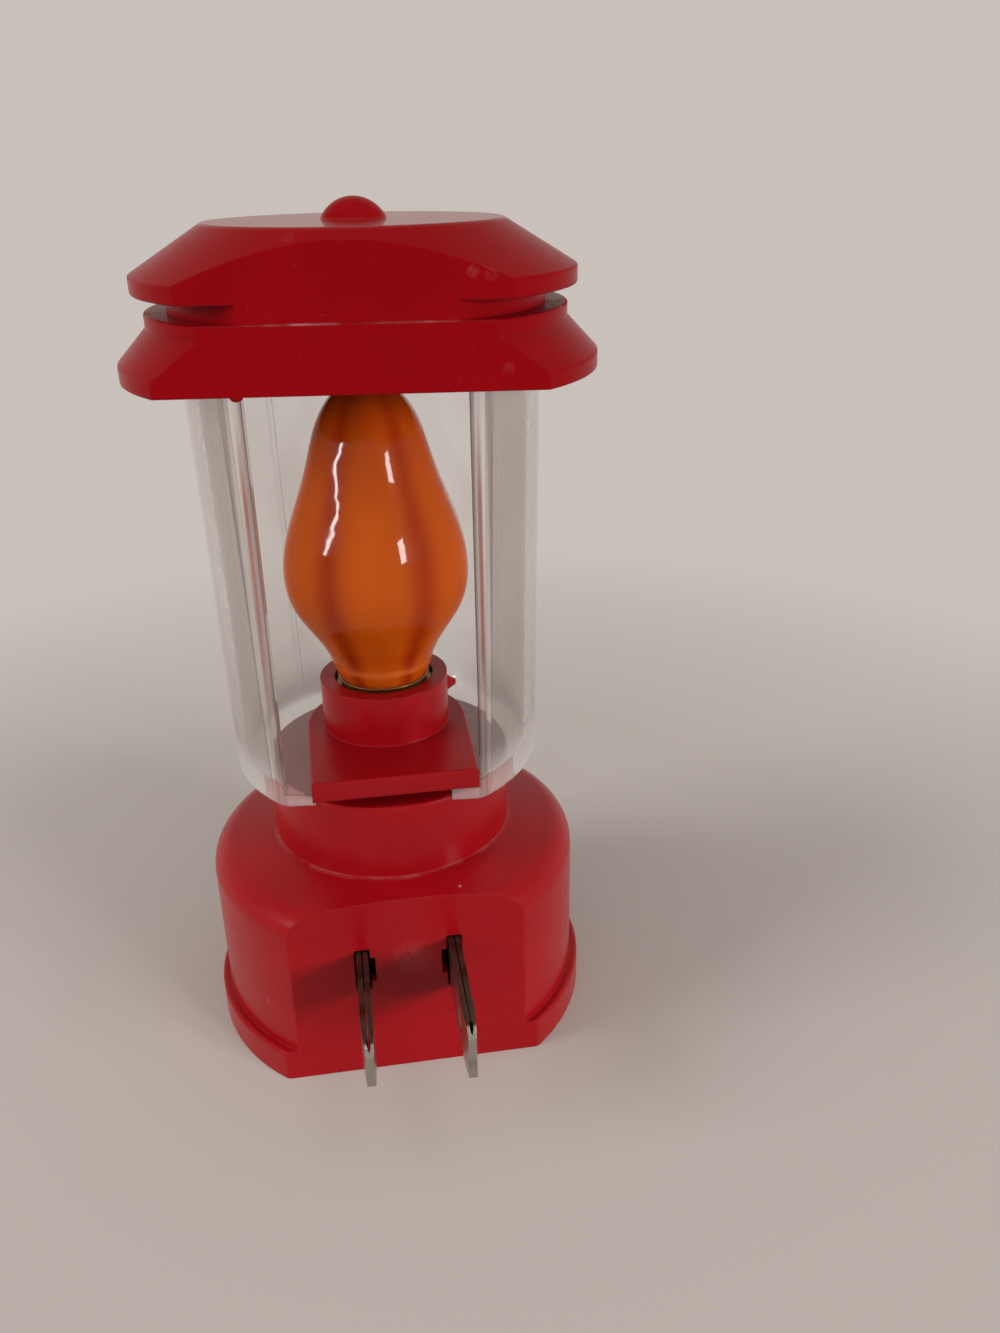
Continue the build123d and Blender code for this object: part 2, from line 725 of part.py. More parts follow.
def roof_upper():
    """Groove wall, brim, cone, top disc and knob, hollow inside."""
    outer = [(0, tier_top), (groove_r, tier_top), (groove_r, brim_under), (brim_r, brim_under),
             (brim_r, brim_top), (disc_r, roof_top), (0, roof_top)]
    slope = (brim_r - disc_r) / cone_h
    shift = roof_wall * math.hypot(1, slope)
    inner_r = groove_r - roof_wall
    knee_z = brim_top + (brim_r - shift - inner_r) / slope
    crown_r = disc_r + slope * roof_wall - shift
    inner = [(0, tier_top - 1), (inner_r, tier_top - 1), (inner_r, knee_z),
             (crown_r, roof_top - roof_wall), (0, roof_top - roof_wall)]
    rounds = {3: roof_edge_round, 4: roof_edge_round, 5: roof_edge_round}
    part = room_side(turned(outer, rounds), roof_flat)
    part -= room_side(turned(inner), roof_flat - roof_wall)
    ball_r = (knob_r ** 2 + knob_h ** 2) / (2 * knob_h)
    knob = Pos(0, 0, roof_top + knob_h - ball_r) * Sphere(ball_r)
    knob = knob & block(-far, far, -far, far, roof_top - roof_wall / 2, far)
    return Rot(0, 0, -shade_turn) * (part + knob)


# ---------------------------------------------------------------- all pieces

pieces = {
    "base_housing": base_housing,
    "base_bottom_cover": base_bottom_cover,
    "blade_left": lambda: blade("left"),
    "blade_right": lambda: blade("right"),
    "blade_retainer": blade_retainer,
    "retainer_screws": retainer_screws,
    "socket_housing_wall_half": socket_housing_wall_half,
    "socket_housing_room_half": socket_housing_room_half,
    "socket_screw_shell": socket_screw_shell,
    "socket_insulating_disc": socket_insulating_disc,
    "socket_center_contact": socket_center_contact,
    "socket_center_terminal": socket_center_terminal,
    "socket_rivet": socket_rivet,
    "lead_wire_left": lambda: lead_wire("left"),
    "lead_wire_right": lambda: lead_wire("right"),
    "bulb_glass": bulb_glass,
    "bulb_screw_shell": bulb_screw_shell,
    "bulb_insulator": bulb_insulator,
    "bulb_center_contact": bulb_center_contact,
    "bulb_stem": bulb_stem,
    "bulb_lead_in_wires": bulb_lead_in_wires,
    "bulb_filament": bulb_filament,
    "globe": globe,
    "roof_lower": roof_lower,
    "roof_upper": roof_upper,
}

for name, make in pieces.items():
    save(make(), name)
print(f"shade turned {shade_turn:.2f} degrees, bulb seat {contact_bottom:.2f}, top {roof_top + knob_h:.2f}")
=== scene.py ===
"""A plug-in lantern night light: finishes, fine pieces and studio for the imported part."""
import math

import bmesh
import bpy
from mathutils import Matrix, Vector


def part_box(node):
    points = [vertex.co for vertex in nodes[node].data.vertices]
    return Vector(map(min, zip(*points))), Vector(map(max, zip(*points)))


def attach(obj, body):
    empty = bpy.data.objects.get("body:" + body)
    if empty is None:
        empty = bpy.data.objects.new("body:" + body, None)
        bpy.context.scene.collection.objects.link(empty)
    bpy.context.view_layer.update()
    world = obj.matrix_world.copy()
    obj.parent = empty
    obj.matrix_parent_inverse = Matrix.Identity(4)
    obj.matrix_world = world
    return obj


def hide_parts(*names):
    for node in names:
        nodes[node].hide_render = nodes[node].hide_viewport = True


bl_info = {
    "name": "Lantern night light",
    "version": (1, 0, 0),
    "blender": (4, 5, 0),
    "location": "View3D > Sidebar > Lantern",
    "description": "Finishes and fine pieces of a plug-in lantern night light",
    "category": "Object",
}

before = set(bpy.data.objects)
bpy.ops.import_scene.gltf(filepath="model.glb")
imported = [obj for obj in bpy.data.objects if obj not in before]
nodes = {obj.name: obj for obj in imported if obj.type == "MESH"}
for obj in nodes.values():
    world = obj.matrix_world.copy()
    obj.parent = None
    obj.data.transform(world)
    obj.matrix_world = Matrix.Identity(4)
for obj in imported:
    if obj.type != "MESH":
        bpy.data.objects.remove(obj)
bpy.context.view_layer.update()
MM = 0.001

# Heights and a radius that the frame gives, in millimetres
GLUE_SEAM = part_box("roof_upper")[0].z / MM
ROOF_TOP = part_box("roof_upper")[1].z / MM
SKIRT_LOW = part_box("roof_lower")[0].z / MM
BLADE_MID = (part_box("blade_left")[0].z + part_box("blade_left")[1].z) / 2 / MM
SHELL_LOW, SHELL_HIGH = (corner.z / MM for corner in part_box("bulb_screw_shell"))
SHELL_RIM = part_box("bulb_screw_shell")[1].x / MM
GLASS_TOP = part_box("bulb_glass")[1].z / MM
# How far the shade stands turned from straight at rest
SHADE_TURN = math.radians(6.19)


# ------------------------------------------------------------------ sizes and colours


class LanternColours(bpy.types.PropertyGroup):
    """Colours of the main finishes"""
    red: bpy.props.FloatVectorProperty(
        name="Red", description="Moulded red of base, socket and roof", subtype="COLOR",
        default=(0.335, 0.0030, 0.0068), min=0, max=1)
    red_deep: bpy.props.FloatVectorProperty(
        name="Deep red", description="Darker drift in the red moulding", subtype="COLOR",
        default=(0.275, 0.0020, 0.0050), min=0, max=1)
    # Also the colour of the painted highlights along edges and of the painted glints
    scuff_and_glint: bpy.props.FloatVectorProperty(
        name="Scuff", description="Whitened plastic on scuffs and along the glue line",
        subtype="COLOR", default=(0.60, 0.27, 0.26), min=0, max=1)
    clear: bpy.props.FloatVectorProperty(
        name="Globe", description="Tint of the clear globe", subtype="COLOR",
        default=(1.0, 0.995, 0.985), min=0, max=1)
    # Painted shade: the darkening that refraction gives the globe's edges and the lines on its cut
    # faces
    painted_edge_shade: bpy.props.FloatVectorProperty(
        name="Globe edge", description="Tinge that the clear plastic gathers along its edges",
        subtype="COLOR", default=(0.19, 0.072, 0.064), min=0, max=1)
    orange: bpy.props.FloatVectorProperty(
        name="Orange", description="Lacquer on the lobes of the bulb", subtype="COLOR",
        default=(0.445, 0.070, 0.0035), min=0, max=1)
    # Painted shade in the bulb's flutes and towards its tip
    orange_painted_shade: bpy.props.FloatVectorProperty(
        name="Flute orange", description="Lacquer gathered in the flutes of the bulb",
        subtype="COLOR", default=(0.25, 0.018, 0.002), min=0, max=1)
    # The colour of a painted red reflection down the globe's cut faces
    streak: bpy.props.FloatVectorProperty(
        name="Globe streak", description="Red that the cut faces of the globe pick up",
        subtype="COLOR", default=(0.42, 0.085, 0.055), min=0, max=1)
    brass: bpy.props.FloatVectorProperty(
        name="Brass", description="Drawn brass of the shells and contacts", subtype="COLOR",
        default=(0.36, 0.215, 0.085), min=0, max=1)
    nickel: bpy.props.FloatVectorProperty(
        name="Nickel", description="Plating of the plug blades", subtype="COLOR",
        default=(0.47, 0.43, 0.38), min=0, max=1)


class LanternSizes(bpy.types.PropertyGroup):
    """Sizes of soft edges and of the bulb's thread"""
    edge_round: bpy.props.FloatProperty(
        name="Edge softness", description="Radius that mouldings show on their edges",
        default=0.35 * MM, unit="LENGTH")
    thread_pitch: bpy.props.FloatProperty(
        name="Thread pitch", description="Rise of the bulb's thread in one turn",
        default=2.54 * MM, unit="LENGTH")
    thread_depth: bpy.props.FloatProperty(
        name="Thread depth", description="Depth of the rolled thread",
        default=0.42 * MM, unit="LENGTH")


class LanternStudio(bpy.types.PropertyGroup):
    """Camera, floor and backdrop"""
    camera_place: bpy.props.FloatVectorProperty(
        name="Camera", description="Place of the camera", subtype="XYZ", unit="LENGTH",
        default=(-5.422 * MM, -142.473 * MM, 118.588 * MM), precision=6)
    camera_pitch: bpy.props.FloatProperty(
        name="Pitch", description="How far the camera looks down", subtype="ANGLE",
        default=math.radians(24.827))
    camera_azimuth: bpy.props.FloatProperty(
        name="Azimuth", description="Turn of the view, clockwise seen from above", subtype="ANGLE",
        default=math.radians(8.827))
    camera_roll: bpy.props.FloatProperty(
        name="Roll", description="Tilt of the frame", subtype="ANGLE",
        default=math.radians(-1.022))
    focal_share: bpy.props.FloatProperty(
        name="Focal share", description="Focal length as a share of the frame's height",
        default=1101.035 / 1333)
    sensor: bpy.props.FloatProperty(
        name="Sensor height", description="Height of the sensor", default=36.0)
    floor: bpy.props.FloatVectorProperty(
        name="Floor", description="Colour of the floor", subtype="COLOR",
        default=(0.560, 0.512, 0.475), min=0, max=1)
    backdrop: bpy.props.FloatVectorProperty(
        name="Backdrop", description="Colour behind the floor", subtype="COLOR",
        default=(0.580, 0.528, 0.488), min=0, max=1)
    ambient: bpy.props.FloatProperty(
        name="Ambient", description="How strongly the backdrop lights dull surfaces", default=0.48,
        min=0)


# ------------------------------------------------------------------ shader maths


class Value:
    """An output socket that can be used in sums: 1 - mask adds its Math node."""

    def __init__(self, graph, socket):
        self.graph = graph
        self.socket = socket

    def sum(self, operation, *values, clamp=False):
        """Adds the Math node of one operation on these values."""
        return self.graph.node("ShaderNodeMath", dict(enumerate(values)),
                               operation=operation, use_clamp=clamp)

    def __add__(self, other):
        return self.sum("ADD", self, other)

    def __radd__(self, other):
        return self.sum("ADD", other, self)

    def __sub__(self, other):
        return self.sum("SUBTRACT", self, other)

    def __rsub__(self, other):
        return self.sum("SUBTRACT", other, self)

    def __mul__(self, other):
        return self.sum("MULTIPLY", self, other)

    def __rmul__(self, other):
        return self.sum("MULTIPLY", other, self)

    def __pow__(self, other):
        return self.sum("POWER", self, other)

    def __abs__(self):
        return self.sum("ABSOLUTE", self)

    def clamped(self):
        return self.sum("ADD", self, 0.0, clamp=True)

    def cosine(self):
        return self.sum("COSINE", self)


class Graph:
    """A node tree that is filled by expressions."""

    def __init__(self, tree):
        self.tree = tree

    def node(self, kind, inputs=None, output=0, **settings):
        """Adds a node, makes its settings, then fills its sockets with values or links."""
        made = self.tree.nodes.new(kind)
        for name, value in settings.items():
            setattr(made, name, value)
        for name, value in (inputs or {}).items():
            socket = made.inputs[name]
            if isinstance(value, Value):
                self.tree.links.new(value.socket, socket)
            else:
                socket.default_value = value
        return Value(self, made.outputs[output])

    def ray(self, kind):
        """1 for rays of this kind, or their count where the kind is a depth."""
        return self.node("ShaderNodeLightPath", output=kind)

    def show(self, shader, output):
        """Links a shader to the surface of the tree's output node."""
        self.tree.links.new(shader.socket, self.tree.nodes[output].inputs["Surface"])


class Finish(Graph):
    """One material: its shader, its place coordinates and the nodes that vary it."""

    def __init__(self, name, **constants):
        self.material = bpy.data.materials.new(name)
        self.material.use_nodes = True
        super().__init__(self.material.node_tree)
        self.shader = self.tree.nodes["Principled BSDF"]
        for socket, value in constants.items():
            self.shader.inputs[socket.replace("_", " ")].default_value = value
        self.place = self.node("ShaderNodeTexCoord", output="Object")
        self.x, self.y, self.z = (self.axis(letter, self.place) for letter in "XYZ")

    def axis(self, letter, vector):
        """One part of a vector."""
        return self.node("ShaderNodeSeparateXYZ", {0: vector}, output=letter)

    def dot(self, first, second):
        """The dot product of two vectors."""
        return self.node("ShaderNodeVectorMath", {0: first, 1: second}, output="Value",
                         operation="DOT_PRODUCT")

    def distance(self, centre):
        """Metres from a point."""
        return self.node("ShaderNodeVectorMath", {0: self.place, 1: centre}, output="Value",
                         operation="DISTANCE")

    def noise(self, scale, detail=2.0, vector=None):
        """Soft noise with patches of 1 / scale metres."""
        return self.node("ShaderNodeTexNoise", {"Vector": vector or self.place, "Scale": scale,
                                                "Detail": detail})

    def stretched(self, x, y, z):
        """The object's own coordinates, scaled unevenly."""
        return self.node("ShaderNodeVectorMath", {0: self.place, 1: (x, y, z)},
                         operation="MULTIPLY")

    def ramp(self, value, low, high):
        """0 below low, 1 above high, and straight between."""
        return self.node("ShaderNodeMapRange", {"Value": value, "From Min": low, "From Max": high})

    def rise(self, coordinate, low, high):
        """A ramp between two places on a coordinate, in millimetres."""
        return self.ramp(coordinate, low * MM, high * MM)

    def near(self, coordinate, place, width):
        """1 on a thin line across a coordinate, 0 past its width, both in millimetres."""
        solid = 0.3
        return 1 - self.rise(abs(coordinate - place * MM), solid * width, width)

    def spot(self, centre, radius):
        """1 at a point, 0 past its radius, both in millimetres."""
        solid = 0.35
        away = self.distance([part * MM for part in centre])
        return 1 - self.rise(away, solid * radius, radius)

    def mix(self, factor, first, second):
        """Mixes two colours."""
        paired = [(*colour, 1) if isinstance(colour, (tuple, list)) else colour
                  for colour in (first, second)]
        return self.node("ShaderNodeMix", {0: factor, 6: paired[0], 7: paired[1]}, output=2,
                         data_type="RGBA")

    def edges(self, radius, full=0.22):
        """Rises from 0 to 1 on outer and inner edges, within a radius of them.

        A lower full lets blunt edges reach 1 too.
        """
        turned = self.node("ShaderNodeBevel", {"Radius": radius}, samples=6)
        flat = self.node("ShaderNodeNewGeometry", output="Normal")
        return self.ramp(1 - self.dot(turned, flat), 0.1 * full, full)

    def feed(self, **sockets):
        """Links values to the shader's sockets."""
        for name, value in sockets.items():
            self.tree.links.new(value.socket, self.shader.inputs[name.replace("_", " ")])

    def relief(self, height, depth, strength=1.0, softened=0.0):
        """Bump from a height value, over edges softened by a radius."""
        inputs = {"Height": height, "Distance": depth, "Strength": strength}
        if softened:
            inputs["Normal"] = self.node("ShaderNodeBevel", {"Radius": softened}, samples=4)
        self.feed(Normal=self.node("ShaderNodeBump", inputs))

    def blend_into(self, share, kind, inputs=None):
        """Turns the surface into a second shader by a share that may vary over it."""
        first = Value(self, self.shader.outputs[0])
        mixed = self.node("ShaderNodeMixShader", {0: share, 1: first, 2: self.node(kind, inputs)})
        self.show(mixed, "Material Output")


def rgb(colour, tone=1.0):
    """A colour's red, green and blue, all times a tone."""
    return tuple(tone * part for part in tuple(colour)[:3])


# ------------------------------------------------------------------ finishes


# How dark a metal or inner moulding gets where its colour drifts
DRIFT_TONE = 0.72


def red_plastic(name, shine=0.27, tone=1.0, gloss=0.22, lines=(), scuffs_and_glints=(), polished=None):
    """Glossy moulded red: soft drift, fine orange peel, rubbed patches, pale lines, pale spots and
    a painted highlight along its edges.

    Shine is the roughness, and tone darkens the red; on the roof that is a painted shade. A line
    is a height, its strength and the x of its two ends; a spot is a place, a radius and a
    strength.
    The roof's spots are painted glints. The level face at the height polished is glossier. All
    places are in millimetres.
    """
    line_width = 0.16
    line_fade = 1
    polished_depth = 0.3
    colours = bpy.context.scene.lantern_colours
    softness = bpy.context.scene.lantern_sizes.edge_round
    finish = Finish(name, IOR=1.49, Specular_IOR_Level=gloss)
    drift = finish.ramp(finish.noise(38), 0.32, 0.68)
    body = finish.mix(drift, rgb(colours.red_deep, tone), rgb(colours.red, tone))
    rubbed = finish.ramp(finish.noise(210, 6), 0.60, 0.80)
    hairs = finish.ramp(finish.noise(1, 3, finish.stretched(5200, 380, 900)), 0.68, 0.82)
    specks = finish.ramp(finish.noise(3400, 0), 0.82, 0.86)
    broken = finish.ramp(finish.noise(260, 5, finish.stretched(1, 1, 0.1)), 0.42, 0.60)
    pale_wear_and_highlights = hairs * rubbed * 0.18 + specks * 0.04
    # Pale edges: partly wear, partly a painted highlight along the edges
    pale_wear_and_highlights = pale_wear_and_highlights + finish.edges(0.6 * softness) * (0.05 + rubbed * 0.30)
    for height, strength, left, right in lines:
        reach = finish.rise(finish.x, left - line_fade, left + line_fade)
        reach = reach * (1 - finish.rise(finish.x, right - line_fade, right + line_fade))
        pale_wear_and_highlights = pale_wear_and_highlights + finish.near(finish.z, height, line_width) * broken * reach * strength
    # Spots of paler plastic; those on the roof are painted glints
    for centre, radius, strength in scuffs_and_glints:
        smear = finish.ramp(finish.noise(1900, 4), 0.30, 0.75)
        pale_wear_and_highlights = pale_wear_and_highlights + finish.spot(centre, radius) * smear * strength
    pale_wear_and_highlights = pale_wear_and_highlights.clamped()
    finish.feed(Base_Color=finish.mix(pale_wear_and_highlights, body, rgb(colours.scuff_and_glint)))
    finish.feed(Roughness=shine + rubbed * 0.10 + hairs * 0.08 + pale_wear_and_highlights * 0.2)
    if polished is not None:
        finish.feed(Coat_Weight=finish.near(finish.z, polished, polished_depth) * 0.38)
    peel = finish.noise(900, 3) * 0.5 + finish.noise(130, 2)
    finish.relief(peel - hairs * 0.3, 0.05 * MM, 0.35, softness)
    return finish.material


def clear_plastic():
    """Clear moulding gone slightly milky, with a faint haze. Painted shade darkens its edges, its
    side walls towards the opening and two brown lines down its cut faces; a painted red reflection
    runs down the cut faces too.

    Mirrored rays and nearly all shadow rays pass it, so that lamps show crisp on the bulb.
    Places are in millimetres, and across runs sideways from the middle of the shade.
    """
    inner_line, outer_line, streak = 13.05, 15.05, 13.75
    bulb_belly = 72
    foot_low, foot_high = 42.2, 48.0
    shade_and_haze_colour = (0.56, 0.51, 0.48)
    milk_colour = (0.62, 0.59, 0.565, 1)
    colours = bpy.context.scene.lantern_colours
    finish = Finish("clear_globe_plastic", Transmission_Weight=0.92, IOR=1.04, Coat_IOR=1.49,
                    Coat_Roughness=0.06)
    hairs = finish.ramp(finish.noise(1, 3, finish.stretched(4200, 4200, 160)), 0.64, 0.80)
    haze = finish.ramp(finish.noise(70, 4), 0.35, 0.75)
    streaks = finish.ramp(finish.noise(1, 2, finish.stretched(1500, 1500, 25)), 0.30, 0.70)
    side, front = math.sin(SHADE_TURN), math.cos(SHADE_TURN)
    across = abs(finish.x * front - finish.y * side)
    forward = 0 - finish.x * side - finish.y * front
    facing = finish.node("ShaderNodeTexCoord", output="Normal")
    cut = finish.ramp(finish.dot(facing, (-side, -front, 0)), 0.93, 0.985)
    level = finish.ramp(abs(finish.axis("Z", facing)), 0.7, 0.95)
    opening = finish.rise(forward, 9, 15.5)
    # Painted shade: dark edges, stronger near the opening, and two brown lines down the cut faces
    # at their inner and outer corners
    edges = finish.edges(0.45 * MM, 0.07) * (0.35 + opening * 0.65) * (0.6 + streaks * 0.4)
    lines = finish.near(across, inner_line, 0.50) * (0.65 + streaks * 0.2)
    lines = lines + finish.near(across, outer_line, 0.45) * 0.8
    # Painted reflection: a red line down the cut faces, stronger beside the bulb and low down
    beside_bulb = 1 - finish.rise(abs(finish.z - bulb_belly * MM), 10, 23)
    low = 1 - finish.rise(finish.z, 43, 56)
    red = finish.near(across, streak, 0.42) * (beside_bulb + low).clamped()
    red = red * (0.45 + streaks * 0.55)
    # Painted shade on the side walls towards the opening, where the thick curved walls darken by
    # refraction, over a faint haze
    haze_and_wall_shade = haze * 0.1 + finish.rise(forward, -9, 4) * (0.75 + streaks * 0.15)
    foot = 1 - finish.rise(finish.z, foot_low, foot_high)
    haze_and_wall_shade = haze_and_wall_shade * (1 - cut * 0.75) * (1 - foot * 0.75)
    body = finish.mix(haze_and_wall_shade, rgb(colours.clear), shade_and_haze_colour)
    body = finish.mix((red * cut).clamped(), body, rgb(colours.streak))
    body = finish.mix((edges + lines * cut * 0.8).clamped(), body, rgb(colours.painted_edge_shade))
    finish.feed(Base_Color=body)
    finish.feed(Roughness=0.006 + haze * 0.01 + hairs * 0.10)
    finish.feed(Coat_Weight=0.95 - haze * 0.15)
    flow = finish.noise(1, 2, finish.stretched(330, 330, 22))
    finish.relief(flow - hairs * 0.15, 0.03 * MM, 0.25, 0.3 * MM)
    mirrored = finish.ray("Is Glossy Ray") * (1 - finish.ray("Is Transmission Ray"))
    passing = (finish.ray("Is Shadow Ray") * 0.94 + mirrored).clamped()
    finish.feed(Alpha=1 - passing)
    milk = foot * (0.28 - level * 0.20 - cut * 0.11) * (0.8 + haze * 0.4)
    finish.blend_into(milk * (1 - passing), "ShaderNodeBsdfPrincipled",
                      {"Base Color": milk_colour, "Roughness": 0.35})
    return finish.material


def orange_glass():
    """Lacquered glass: bright on the lobes, with painted shade in the flutes and a painted darker
    red towards the tip.

    A painted highlight and a painted shaded band cross its foot, just above the shell, where the
    glass has low folds that are not modelled. Heights in millimetres.
    """
    lobes = 6
    wall_side_lobe = math.radians(-93.5)
    fold_highlight_height, fold_shade_height = 55.2, 57.6
    fold_highlight_colour = (0.56, 0.135, 0.030)
    colours = bpy.context.scene.lantern_colours
    finish = Finish("orange_lacquered_glass", IOR=1.5, Specular_IOR_Level=0.02,
                    Coat_Roughness=0.03)
    angle = finish.y.sum("ARCTAN2", finish.y, finish.x) - wall_side_lobe
    flute = 0.5 - 0.5 * (angle * lobes).cosine()
    top = finish.ramp(finish.rise(finish.z, SHELL_HIGH, GLASS_TOP), 0.62, 1.0)
    uneven = finish.noise(120, 3)
    runs = finish.noise(1, 3, finish.stretched(420, 420, 40))
    # Painted shade: darker in the flutes and towards the tip, with lacquer runs and uneven tone
    painted_shade_and_runs = flute ** 4.0 * (0.80 - top * 0.60) + top * 0.66 + uneven * 0.18 + runs * 0.16
    # A painted shaded band where the glass has a low fold
    painted_shade_and_runs = (painted_shade_and_runs - 0.14 + finish.near(finish.z, fold_shade_height, 1.6) * 0.14).clamped()
    body = finish.mix(painted_shade_and_runs, rgb(colours.orange), rgb(colours.orange_painted_shade))
    # A painted highlight along a low fold of the glass
    pale = finish.near(finish.z, fold_highlight_height, 0.7) * 0.45
    finish.feed(Base_Color=finish.mix(pale, body, fold_highlight_colour))
    finish.feed(Roughness=0.10 + uneven * 0.06)
    finish.feed(Coat_Weight=0.24 + uneven * 0.08)
    finish.relief(finish.noise(160, 2), 0.002 * MM, 0.3)
    return finish.material


def metal(name, colour, shine=0.28, grain=(60, 60, 2600), tarnish=(0.16, 0.09, 0.05), stained=0.35,
          cut_from=None):
    """Rolled or drawn metal with grain along one way and tarnish in patches.

    Shine is the roughness, and stained is the share of tarnish in a patch. Past cut_from, a
    height above or below the blades' middle in millimetres, the strip's cut edge shows dark.
    """
    cut_fade = 0.3
    finish = Finish(name, Metallic=1.0)
    brushed = finish.noise(1, 4, finish.stretched(*grain))
    patches = finish.ramp(finish.noise(320, 5), 0.50, 0.78) * stained
    bright = finish.mix(brushed * 0.35, rgb(colour), rgb(colour, DRIFT_TONE))
    if cut_from is not None:
        off_middle = abs(finish.z - BLADE_MID * MM)
        cut = finish.rise(off_middle, cut_from - cut_fade, cut_from)
        patches = (patches + cut * 0.8).clamped()
    finish.feed(Base_Color=finish.mix(patches, bright, tarnish))
    finish.feed(Roughness=shine + brushed * 0.12 + patches * 0.3)
    finish.relief(brushed + finish.noise(700, 3), 0.02 * MM, 0.3, 0.16 * MM)
    return finish.material


def plain_moulding(name, colour, rough, transmission=0.0):
    """Small inner pieces: one colour with its own drift and grain."""
    finish = Finish(name, Transmission_Weight=transmission)
    drift = finish.noise(900, 4)
    finish.feed(Base_Color=finish.mix(drift, colour, rgb(colour, DRIFT_TONE)))
    finish.feed(Roughness=rough + drift * 0.1)
    finish.relief(drift, 0.03 * MM, 0.3)
    return finish.material


def dress(material, *names):
    """Gives CAD nodes their finish."""
    for name in names:
        slots = nodes[name].data.materials
        slots.clear()
        slots.append(material)


# ------------------------------------------------------------------ meshes


def piece(name, mesh, body, slot, material, *replaced):
    """Links a finished mesh as a piece that rides on a body, and stands for CAD nodes."""
    made = bpy.data.objects.new(name, mesh)
    bpy.context.scene.collection.objects.link(made)
    mesh.materials.append(material)
    for face in mesh.polygons:
        face.use_smooth = True
    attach(made, body)
    if replaced:
        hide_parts(*replaced)
    return made


def lofted(name, rings, closed_ends=False):
    """A mesh through rings of the same number of points, each ring closed on itself.

    Closed ends add a face on the first and the last ring.
    """
    work = bmesh.new()
    rows = [[work.verts.new(point) for point in ring] for ring in rings]
    count = len(rows[0])
    for lower, upper in zip(rows, rows[1:]):
        for here in range(count):
            after = (here + 1) % count
            work.faces.new((lower[here], lower[after], upper[after], upper[here]))
    if closed_ends:
        work.faces.new(reversed(rows[0]))
        work.faces.new(rows[-1])
    bmesh.ops.recalc_face_normals(work, faces=work.faces)
    mesh = bpy.data.meshes.new(name)
    work.to_mesh(mesh)
    work.free()
    return mesh


# ------------------------------------------------------------------ operators


class LANTERN_OT_base(bpy.types.Operator):
    """Finishes the base housing, its cover and the hidden retainer"""
    bl_idname = "lantern.base"
    bl_label = "Base"

    def execute(self, context):
        neck_foot = 29.7
        base_red = red_plastic(
            "base_red", lines=((neck_foot, 0.14, -30, 30),),
            scuffs_and_glints=(((7.60, -19.77, 28.83), 0.30, 0.9), ((-19.9, -17.8, 11.6), 0.5, 0.2),
                    ((0.5, -21.0, 19.0), 3.4, 0.12)))
        dress(base_red, "base_housing", "base_bottom_cover", "blade_retainer")
        return {"FINISHED"}


class LANTERN_OT_blades(bpy.types.Operator):
    """Finishes the two folded blades of the plug and the retainer's screws"""
    bl_idname = "lantern.blades"
    bl_label = "Plug blades"

    def execute(self, context):
        nickel = context.scene.lantern_colours.nickel
        dark_brown = (0.085, 0.040, 0.028)
        cut_margin = 1.2
        for side in ("left", "right"):
            low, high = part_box("blade_" + side)
            half_height = 0.5 * (high.z - low.z) / MM
            dress(metal("nickel_" + side, nickel, 0.22, (60, 2600, 60), dark_brown, 0.4,
                        cut_from=half_height - cut_margin), "blade_" + side)
        dress(metal("screw_zinc", (0.56, 0.56, 0.58), 0.30), "retainer_screws")
        return {"FINISHED"}


class LANTERN_OT_socket(bpy.types.Operator):
    """Finishes the two halves of the socket and the contacts inside it"""
    bl_idname = "lantern.socket"
    bl_label = "Socket"

    def execute(self, context):
        dress(red_plastic("socket_red", 0.30, 0.86), "socket_housing_wall_half",
              "socket_housing_room_half")
        dress(metal("socket_brass", context.scene.lantern_colours.brass), "socket_screw_shell",
              "socket_center_contact", "socket_center_terminal", "socket_rivet")
        dress(plain_moulding("brown_fibre", (0.20, 0.09, 0.045), 0.75), "socket_insulating_disc")
        dress(plain_moulding("white_insulation", (0.70, 0.68, 0.63), 0.45),
              "lead_wire_left", "lead_wire_right")
        return {"FINISHED"}


